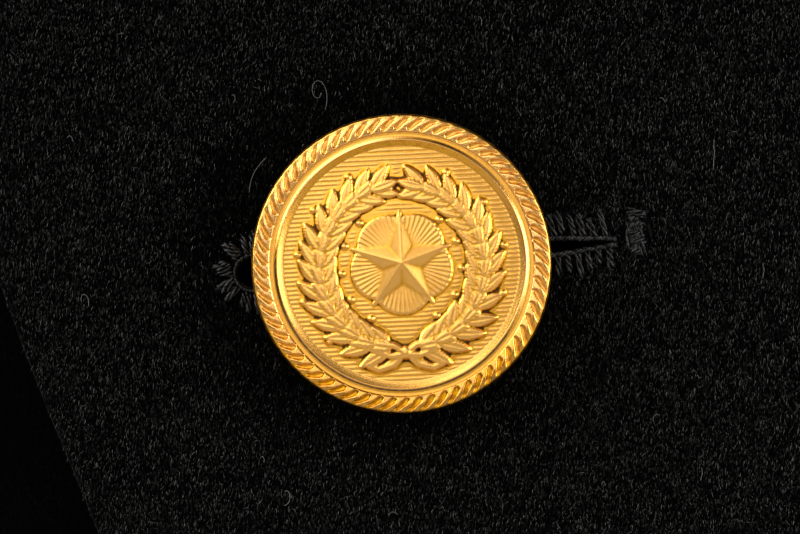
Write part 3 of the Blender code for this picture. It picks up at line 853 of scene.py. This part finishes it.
grain, grain_in = new_group("gilt_grain", ("Fine",), ("Grain", "Spots"))
place = object_place(grain)
new_node(grain, "NodeGroupOutput",
         Grain=noise(grain, place, grain_in["Fine"], Detail=3.0, Roughness=0.65),
         Spots=noise(grain, place, 2600.0, Detail=4.0, Roughness=0.7))

gilt, tree, shader = new_material("gilt_brass")
fine, spots = use_group(tree, grain, Fine=9000.0)
# The mesh carries real patina in the deepest hollows, and painted shade in grooves, round the
# relief, on the lower sides of the ring and rope and at the ring's upper right; spots mottle both
# at random.
patina_and_shade = painted(tree, "patina_and_shade")
polish = painted(tree, "polish")
mottles_and_shade = ramp(tree, part_added(tree, patina_and_shade, spots, 0.5), 0.24, 0.80)
shaded_gilt = mix_colour(tree, mottles_and_shade, GILT, GILT_SHADED)
patina_and_deep_shade = ramp(tree, part_added(tree, patina_and_shade, spots, 0.8), 0.92, 1.34)
satin = math_node(tree, "ADD", math_node(tree, "MULTIPLY", fine, 0.16), 0.26)
rubbed = math_node(tree, "SUBTRACT", satin, math_node(tree, "MULTIPLY", polish, 0.24))
pitted = new_node(tree, "ShaderNodeBump", Strength=0.50, Distance=0.00003, Height=fine)
fill(tree, shader, Base_Color=mix_colour(tree, patina_and_deep_shade, shaded_gilt, PATINA), Normal=pitted.outputs[0],
     Metallic=1.0, Roughness=rubbed, Coat_Weight=math_node(tree, "MULTIPLY", polish, 0.5),
     Coat_Roughness=0.12, Coat_IOR=1.9)

# The relief is worked out on a fine raster over the ground, as a die is cut.
RASTER_STEP = 0.00005
RASTER_REACH = 0.0098
RIB_WIDTH = 0.00009
VEIN_PITCH = 0.00030
WREATH_RADIUS = 0.00630
WREATH_MIDDLE = -0.0002
WREATH_LEAVES = 14
LEAF_LENGTH = 0.00285
LEAF_WIDTH = 0.00112
LEAF_FAN = ((-0.62, 1.0, 0.00026), (0.66, 0.92, 0.00024), (0.02, 0.95, 0.00032))
LEAF_SEED = 12
BERRIES = 11
BERRY_RINGS = (0.00800, 0.00462)
BERRY_RADIUS = 0.00024
BERRY_RISE = 0.00026
STAR_MIDDLE = 0.0001
STAR_REACH = 0.00405
STAR_WAIST = 0.00165
STAR_RISE = 0.00060
RAY_REACH = 0.00345
Leaf = namedtuple("Leaf", "x y turn length width rise")
raster_size = int(2 * RASTER_REACH / RASTER_STEP) + 1
raster_middle = (raster_size - 1) / 2
axis = (np.arange(raster_size) - raster_middle) * RASTER_STEP
across, upward = np.meshgrid(axis, axis)


def leaf_relief(leaf):
    """A laurel leaf: pointed at both ends, ribbed down the middle, with side veins."""
    along = (across - leaf.x) * cos(leaf.turn) + (upward - leaf.y) * sin(leaf.turn)
    aside = -(across - leaf.x) * sin(leaf.turn) + (upward - leaf.y) * cos(leaf.turn)
    t = share(along / leaf.length)
    half = leaf.width / 2 * np.sin(pi * t ** 0.85) ** 0.8
    inside = (along > 0) & (along < leaf.length) & (half > 1e-7)
    part = np.abs(aside) / np.maximum(half, 1e-7)
    body = np.sqrt(share(1 - part ** 2))
    rib = 0.22 * np.exp(-(aside / RIB_WIDTH) ** 2)
    veins = 0.22 * np.cos((along - np.abs(aside) * 1.1) / VEIN_PITCH * 2 * pi) * part
    height = leaf.rise * (0.35 + 0.65 * body - rib + veins)
    return np.where(inside & (part < 1.0), height, 0.0)


def wreath_leaves():
    """Two laurel branches that start under the star and curl up on both sides."""
    leaves = []
    dice = random.Random(LEAF_SEED)
    for side in (1, -1):
        for k in range(WREATH_LEAVES):
            bearing = radians(-80 + 11.6 * k)
            x = WREATH_RADIUS * cos(bearing)
            y = WREATH_RADIUS * sin(bearing) + WREATH_MIDDLE
            size = 1.0 - 0.012 * k
            for lean, long, rise in LEAF_FAN:
                turn = bearing + pi / 2 + lean + dice.gauss(0.0, 0.06)
                leaves.append(Leaf(side * x, y, turn if side > 0 else pi - turn,
                                   LEAF_LENGTH * size * long, LEAF_WIDTH * size, rise))
    return leaves


def dome(away, rise):
    """A round swelling where away is under 1."""
    return np.where(away < 1, rise * np.sqrt(share(1 - away ** 2)), 0.0)


def bead_relief(x, y, radius, rise):
    return dome(np.hypot(across - x, upward - y) / radius, rise)


def band_relief(points, width, rise):
    """A raised cord or ribbon along a line of points."""
    height = np.zeros_like(across)
    for (x0, y0), (x1, y1) in zip(points, points[1:]):
        reach = (x1 - x0) ** 2 + (y1 - y0) ** 2
        t = share(((across - x0) * (x1 - x0) + (upward - y0) * (y1 - y0)) / reach)
        away = np.hypot(across - x0 - t * (x1 - x0), upward - y0 - t * (y1 - y0)) / width
        height = np.maximum(height, dome(away, rise))
    return height


star_bearing = np.arctan2(across, upward - STAR_MIDDLE)
star_distance = np.hypot(across, upward - STAR_MIDDLE)


def star_relief():
    """A five-pointed star of ten flat facets."""
    folded = np.abs((star_bearing + pi / 5) % (2 * pi / 5) - pi / 5)
    x = star_distance * np.cos(folded)
    y = star_distance * np.sin(folded)
    edge = np.array((STAR_WAIST * sin(pi / 5), STAR_REACH - STAR_WAIST * cos(pi / 5)))
    edge = edge / np.hypot(*edge)
    height = 1 - (x * edge[0] + y * edge[1]) / (STAR_REACH * edge[0])
    return np.where(height > 0, STAR_RISE * (0.22 + 0.78 * height), 0.0)


def soften(height, steps):
    """Rounds a relief off as a die does, by averaging each point with its neighbours."""
    for turn in range(steps):
        for way in (0, 1):
            height = (np.roll(height, 1, way) + 2 * height + np.roll(height, -1, way)) / 4
    return height


BOW_LOOP = ((0.0, -0.0068), (0.0009, -0.0062), (0.0019, -0.0060), (0.0021, -0.0066),
            (0.0012, -0.0070), (0.0, -0.0069))
BOW_TAIL = ((0.0002, -0.0069), (0.0010, -0.0077), (0.0021, -0.0080), (0.0028, -0.0077))
relief = np.zeros_like(across)
for side in (1, -1):
    stem = [(-side * 0.0015, -0.0076), (-side * 0.0004, -0.0070)]
    stem += [(side * 0.00625 * cos(radians(a)), 0.00625 * sin(radians(a)) + WREATH_MIDDLE)
             for a in range(-80, 80, 8)]
    relief = np.maximum(relief, band_relief(stem, 0.00016, 0.00018))
for order, leaf in enumerate(wreath_leaves()):
    shape = leaf_relief(leaf)
    relief = np.where(shape > 0, np.maximum(shape + 0.000012 * (order % 3), relief * 0.72), relief)
for side in (1, -1):
    for k in range(BERRIES):
        bearing = radians(-70 + 13.2 * k)
        reach = BERRY_RINGS[k % 2]
        berry = bead_relief(side * reach * cos(bearing), reach * sin(bearing) + WREATH_MIDDLE,
                            BERRY_RADIUS, BERRY_RISE)
        relief = np.maximum(relief, berry)
    for points, rise in ((BOW_LOOP, 0.00030), (BOW_TAIL, 0.00022)):
        ribbon = band_relief([(side * x, y) for x, y in points], 0.00030, rise)
        relief = np.maximum(relief, ribbon)
relief = np.maximum(relief, bead_relief(0.0, -0.0068, 0.00055, 0.00040))
ray_reach = RAY_REACH + 0.00050 * np.abs(np.cos(star_bearing * 2.5 + pi / 2))
ray = 0.00010 + 0.00008 * np.abs(np.cos(star_bearing * 30))
relief = np.maximum(relief, np.where(star_distance < ray_reach, ray, 0.0))
relief = np.maximum(relief, star_relief())
PRESENT = 0.00001
pressed = soften(relief, 2)
margin = share(1 - soften((relief > PRESENT).astype(float), 70) * 6.0)
hollow = share((soften(relief, 40) - pressed) / 0.00007) * (soften(relief, 12) > PRESENT)


def sample(field, x, y):
    """A field of the raster read between its points."""
    u = np.clip(x / RASTER_STEP + raster_middle, 0, raster_size - 1.001)
    v = np.clip(y / RASTER_STEP + raster_middle, 0, raster_size - 1.001)
    i = u.astype(int)
    j = v.astype(int)
    s = u - i
    t = v - j
    return ((1 - s) * (1 - t) * field[j, i] + s * (1 - t) * field[j, i + 1]
            + (1 - s) * t * field[j + 1, i] + s * t * field[j + 1, i + 1])


DISH = ((0.0, 0.00372), (0.0040, 0.00365), (0.0070, 0.00350), (0.0086, 0.00336),
        (0.00900, 0.00334), (0.00925, 0.00343), (0.00950, 0.00355))
LINES_END = 0.00905
SLOPE_START = 0.0090
LIP_START = 0.0094


def grid_mesh(name, columns, rows):
    """A flat grid as a mesh, with its points, which run from -1 to 1 both ways."""
    form = bmesh.new()
    bmesh.ops.create_grid(form, x_segments=columns, y_segments=rows, size=1.0)
    mesh = as_mesh(form, name)
    return mesh, points_of(mesh)


def button_face(name, columns, rows):
    """The dished face: rows of the mesh run along the ground's fine lines."""
    mesh, flat = grid_mesh(name, columns, rows)
    upright = np.sin(flat[:, 1] * pi / 2) * 0.06 + flat[:, 1] * 0.94
    y = GROUND_RADIUS * upright
    y = y / max(abs(y).max(), 1e-9) * GROUND_RADIUS * 0.9999
    x = flat[:, 0] * np.sqrt(np.clip(GROUND_RADIUS ** 2 - y ** 2, 0.0, None))
    radius = np.hypot(x, y)
    raised = sample(pressed, x, y)
    clear = sample(margin, x, y) * share((LINES_END - radius) / 0.00012)
    ridge = np.abs(np.sin(pi * y / LINE_PITCH)) ** 0.65
    height = read_profile(DISH, radius) + raised + LINE_RISE * (ridge - 0.5) * clear
    slope = rises(radius, SLOPE_START, 0.0001)
    # Painted shade: the flat ground beside the relief, the slope more towards the top and the
    # valleys between the fine lines are darkened; the deep hollows of the relief carry real
    # patina.
    painted_halo_shade = 0.34 * (1 - sample(margin, x, y)) * (raised < 0.00002)
    slope_top_shade = 0.12 + 0.42 * share(y / np.maximum(radius, 0.001))
    painted_halo_shade = np.maximum(painted_halo_shade, slope_top_shade * slope)
    hollows_and_shade = np.maximum(np.maximum(sample(hollow, x, y), painted_halo_shade), 0.62 * clear * (1 - ridge) ** 1.3)
    mesh.vertices.foreach_set("co", np.column_stack((x, y, height)).ravel())
    paint(mesh, "patina_and_shade", hollows_and_shade)
    paint(mesh, "polish", 0.10 + 0.20 * slope + 0.40 * rises(radius, LIP_START, 0.0001))
    return mesh


RIM_TURN = ((0.00950, 0.00355), (0.00952, 0.00358), (0.009545, 0.003600), (0.00957, 0.00359),
            (0.00962, 0.003565), (0.00968, 0.003535), (0.00975, 0.003495), (0.00979, 0.003465),
            (0.00988, 0.00345), (0.01000, 0.00345), (0.01010, 0.00347), (0.01016, 0.00347))
BACK_TURN = ((0.01155, 0.00290), (0.01158, 0.00220), (0.01145, 0.00120), (0.01090, 0.00060),
             (0.01000, 0.00035), (0.00300, 0.00015), (0.00160, 0.00005), (0.00150, -0.00040),
             (0.00150, -0.00330), (0.00110, -0.00345), (0.00001, -0.00345))
STRANDS = 66
ROPE_IN = 0.01012
ROPE_OUT = 0.01157
FLUTE_DEPTH = 0.00020
RING_TOP = 0.00963
RING_EDGE = 0.00970
GROOVE_START = 0.00972
HEAD_END = 0.36
HEAD_WIDTH = 0.64


def turned_ring(name, points, steps):
    """A profile spun right round the button's axis, polished on top, with painted shade along its
    edge and a little further out.
    """
    ring = bmesh.new()
    verts = [ring.verts.new((r, 0.0, h)) for r, h in points]
    edges = [ring.edges.new(pair) for pair in zip(verts, verts[1:])]
    bmesh.ops.spin(ring, geom=verts + edges, cent=(0.0, 0.0, 0.0), axis=(0.0, 0.0, 1.0),
                   angle=2 * pi, steps=steps, use_merge=True)
    bmesh.ops.remove_doubles(ring, verts=ring.verts, dist=WELD)
    bmesh.ops.recalc_face_normals(ring, faces=ring.faces)
    mesh = as_mesh(ring, name)
    x, y = points_of(mesh)[:, :2].T
    radius = np.hypot(x, y)
    bearing = np.arctan2(y, x)
    # Painted shade: the ring's outer edge is darkened along its lower half, from the left round to
    # the lower right, and at its upper right; everything outside the groove is darkened a little.
    ring_side_shade = (share(3 * np.cos(bearing + radians(112)) + 0.15)
             + np.exp(-((bearing - radians(66)) / radians(15)) ** 2))
    edge = np.exp(-((radius - RING_EDGE) / 0.00010) ** 2)
    groove = 0.24 * rises(radius, GROOVE_START, 0.00008)
    paint(mesh, "patina_and_shade", np.maximum(groove, 1.05 * ring_side_shade * edge))
    paint(mesh, "polish", np.exp(-((radius - RING_TOP) / 0.00012) ** 2))
    return mesh


def rope_ring(name, around, section):
    """The roped rim: slanted strands with round heads and tails that sweep outwards."""
    mesh, flat = grid_mesh(name, around, section)
    bearing = flat[:, 0] * pi
    s = (flat[:, 1] + 1) / 2
    radius = ROPE_IN + (ROPE_OUT - ROPE_IN) * (s + 0.04 * np.sin(2 * pi * s))
    base = (0.00374 - 0.00012 * (1 - s) ** 2 - 0.00026 * s ** 3 - 0.00014 * (s < 0.02)
            - 0.00075 * rises(s, 0.88, 0.12) ** 2)
    phase = bearing * STRANDS / (2 * pi) + 0.80 * s + 0.50 * s ** 2.4
    part = phase - np.floor(phase)
    head = np.sqrt(share(1 - ((HEAD_END - s) / 0.28) ** 2))
    width = np.where(s < HEAD_END, HEAD_WIDTH * head, HEAD_WIDTH - 0.30 * (s - HEAD_END))
    inside = share(1 - (np.abs(part - 0.5) * 2 / np.maximum(width, 0.02)) ** 2.8) ** 0.8
    flute = inside * share((0.87 - s) / 0.16) * np.where(s < 0.05, 0.0, 1.0)
    height = base - FLUTE_DEPTH * flute
    places = np.column_stack((radius * np.cos(bearing), radius * np.sin(bearing), height))
    mesh.vertices.foreach_set("co", places.ravel())
    # Painted shade: the walls of the flutes are darkened, and the rope is darker towards the
    # bottom of the button; it is also darker towards its outer edge.
    deep = flute * share(1.25 - 0.75 * s)
    edge = rises(s, 0.78, 0.10)
    painted_shading = 0.60 * share(-np.sin(bearing) * 1.4 - 0.2) + 0.26 * edge
    paint(mesh, "patina_and_shade", np.maximum(deep * (0.17 * inside + 1.4 * inside * (1 - inside)), painted_shading))
    paint(mesh, "polish", (1 - inside) * 0.85 * (1 - 0.7 * edge))
    return merged(mesh)


# The button of the close-up has the finest mesh.
Detail = namedtuple("Detail", "columns rows around section spin")
FINE = Detail(205, 330, STRANDS * 18, 24, 240)
PLAIN = Detail(90, 160, STRANDS * 8, 12, 96)
for name, seat in seats.items():
    detail = FINE if name == "waist" else PLAIN
    parts = {"face": button_face("face_" + name, detail.columns, detail.rows),
             "ring": turned_ring("ring_" + name, RIM_TURN, detail.spin),
             "rope": rope_ring("rope_" + name, detail.around, detail.section),
             "shell": turned_ring("back_" + name, BACK_TURN, detail.spin)}
    for label, mesh in parts.items():
        mesh.transform(seat @ Matrix.Rotation(BUTTON_TURN, 4, "Z"))
        piece = finish_piece("button_" + name + "_" + label, mesh, gilt)
        if label == "face":
            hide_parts("button_" + name)


# Lint and loose hairs that black wool picks up: a few curled fibres and pale specks,
# which lie on the nap round the waist button.
LINT_DARK = (0.020, 0.020, 0.019, 1.0)
LINT_PALE = (0.110, 0.108, 0.100, 1.0)
HAIR_RADIUS = 0.000022
HAIR_LEVEL = 0.00016
HAIR_STEPS = 14
lint, tree, shader = new_material("pale_lint")
fill(tree, shader, Roughness=0.6, Base_Color=mix_colour(
    tree, noise(tree, object_place(tree), 3000.0), LINT_DARK, LINT_PALE))
# Each row holds a hair's place, length, bearing and curl, the last two in degrees.
HAIRS = (
    (-0.0049, 0.0125, 0.0058, 60, 400),
    (-0.0098, 0.0092, 0.0038, 205, 60),
    (0.0078, 0.0180, 0.0008, 60, 120),
    (-0.0248, 0.0118, 0.0010, 100, 160),
    (-0.0120, 0.0137, 0.0010, 30, 200),
    (-0.0247, -0.0012, 0.0021, 80, 240),
    (0.0250, 0.0052, 0.0024, 75, 15),
    (0.0217, 0.0108, 0.0009, 120, 90),
    (0.0281, -0.0036, 0.0013, 55, 80),
    (0.0190, -0.0135, 0.0012, 160, 140),
    (0.0216, -0.0188, 0.0011, 45, 70),
    (-0.0107, -0.0179, 0.0020, 10, 210),
    (-0.0120, -0.0145, 0.0009, 70, 200),
    (-0.0020, -0.0193, 0.0012, 150, 90),
    (-0.0243, 0.0175, 0.0003, 0, 40),
    (-0.0151, -0.0101, 0.0003, 70, 40),
    (-0.0270, 0.0165, 0.0003, 30, 40),
    (0.0133, 0.0045, 0.0002, 80, 30),
    (0.0270, 0.0120, 0.0002, 100, 30),
    (0.0244, 0.0089, 0.0002, 60, 30),
    (-0.0130, 0.0033, 0.0002, 20, 30),
    (-0.0155, 0.0011, 0.0003, 130, 30),
    (0.0112, -0.0151, 0.0002, 40, 30),
    (-0.0188, -0.0094, 0.0002, 90, 30),
)
strands = []
for x, y, length, bearing, curl in HAIRS:
    bearing = radians(bearing)
    strand = []
    for k in range(HAIR_STEPS + 1):
        hit = find_cloth(waist_seat, x, y)
        if hit:
            strand.append(hit[0] + hit[1] * (HAIR_LEVEL + 0.00008 * sin(k)))
        x += 0.62 * cos(bearing) * length / HAIR_STEPS
        y += sin(bearing) * length / HAIR_STEPS
        bearing += radians(curl) * (0.35 + 0.10 * k) / HAIR_STEPS
    strands.append(strand)
finish_piece("lint", thread_mesh("lint", strands, HAIR_RADIUS), lint)


# Floor and light: a plain pale floor under the hem, three soft lights in front, a low
# one from each side that picks out the nap, and two soft ones behind.
FLOOR_LEVEL = -0.720
floor_form = bmesh.new()
bmesh.ops.create_grid(floor_form, x_segments=8, y_segments=8, size=3.0)
bmesh.ops.translate(floor_form, vec=(0.0, 0.0, FLOOR_LEVEL), verts=floor_form.verts)
floor = put_out("floor", as_mesh(floor_form, "floor"))
floor_paint, tree, shader = new_material("pale_floor")
fill(tree, shader, Roughness=0.7, Base_Color=mix_colour(
    tree, noise(tree, object_place(tree), 6.0, Detail=4.0),
    (0.43, 0.43, 0.42, 1.0), (0.47, 0.47, 0.46, 1.0)))
floor.data.materials.append(floor_paint)

room = bpy.data.worlds.new("studio")
scene.world = room
room.use_nodes = True
fill(room.node_tree, room.node_tree.nodes["Background"],
     Color=(0.92, 0.94, 0.96, 1.0), Strength=0.32)
scene.view_settings.view_transform = "Standard"
scene.view_settings.look = "None"

# Each lamp's place is to the right, up and forward of the waist button.
LAMPS = (
    ("front_soft", (-0.20, 0.36, 1.15), 0.90, 1.85, 100),
    ("top_soft", (-0.50, 0.95, 0.50), 0.80, 2.2, 100),
    ("right_soft", (0.90, 0.05, 0.55), 0.80, 2.7, 100),
    ("left_graze", (-1.90, 0.90, 0.40), 1.40, 13.0, 80),
    ("right_graze", (2.00, 0.30, 0.35), 1.00, 5.0, 80),
    ("back_left_soft", (-1.30, 1.10, -1.90), 1.40, 16.0, 100),
    ("back_right_soft", (1.60, 0.70, -1.50), 1.10, 9.0, 100),
)
for name, place, size, watts, spread in LAMPS:
    light = put_out(name, bpy.data.lights.new(name, "AREA"))
    light.data.shape = "SQUARE"
    light.data.size = size
    light.data.energy = watts
    light.data.spread = radians(spread)
    light.location = turned @ Vector(place)
    away = light.location - waist_seat.translation
    light.rotation_euler = away.to_track_quat("Z", "Y").to_euler()
    light.visible_camera = False
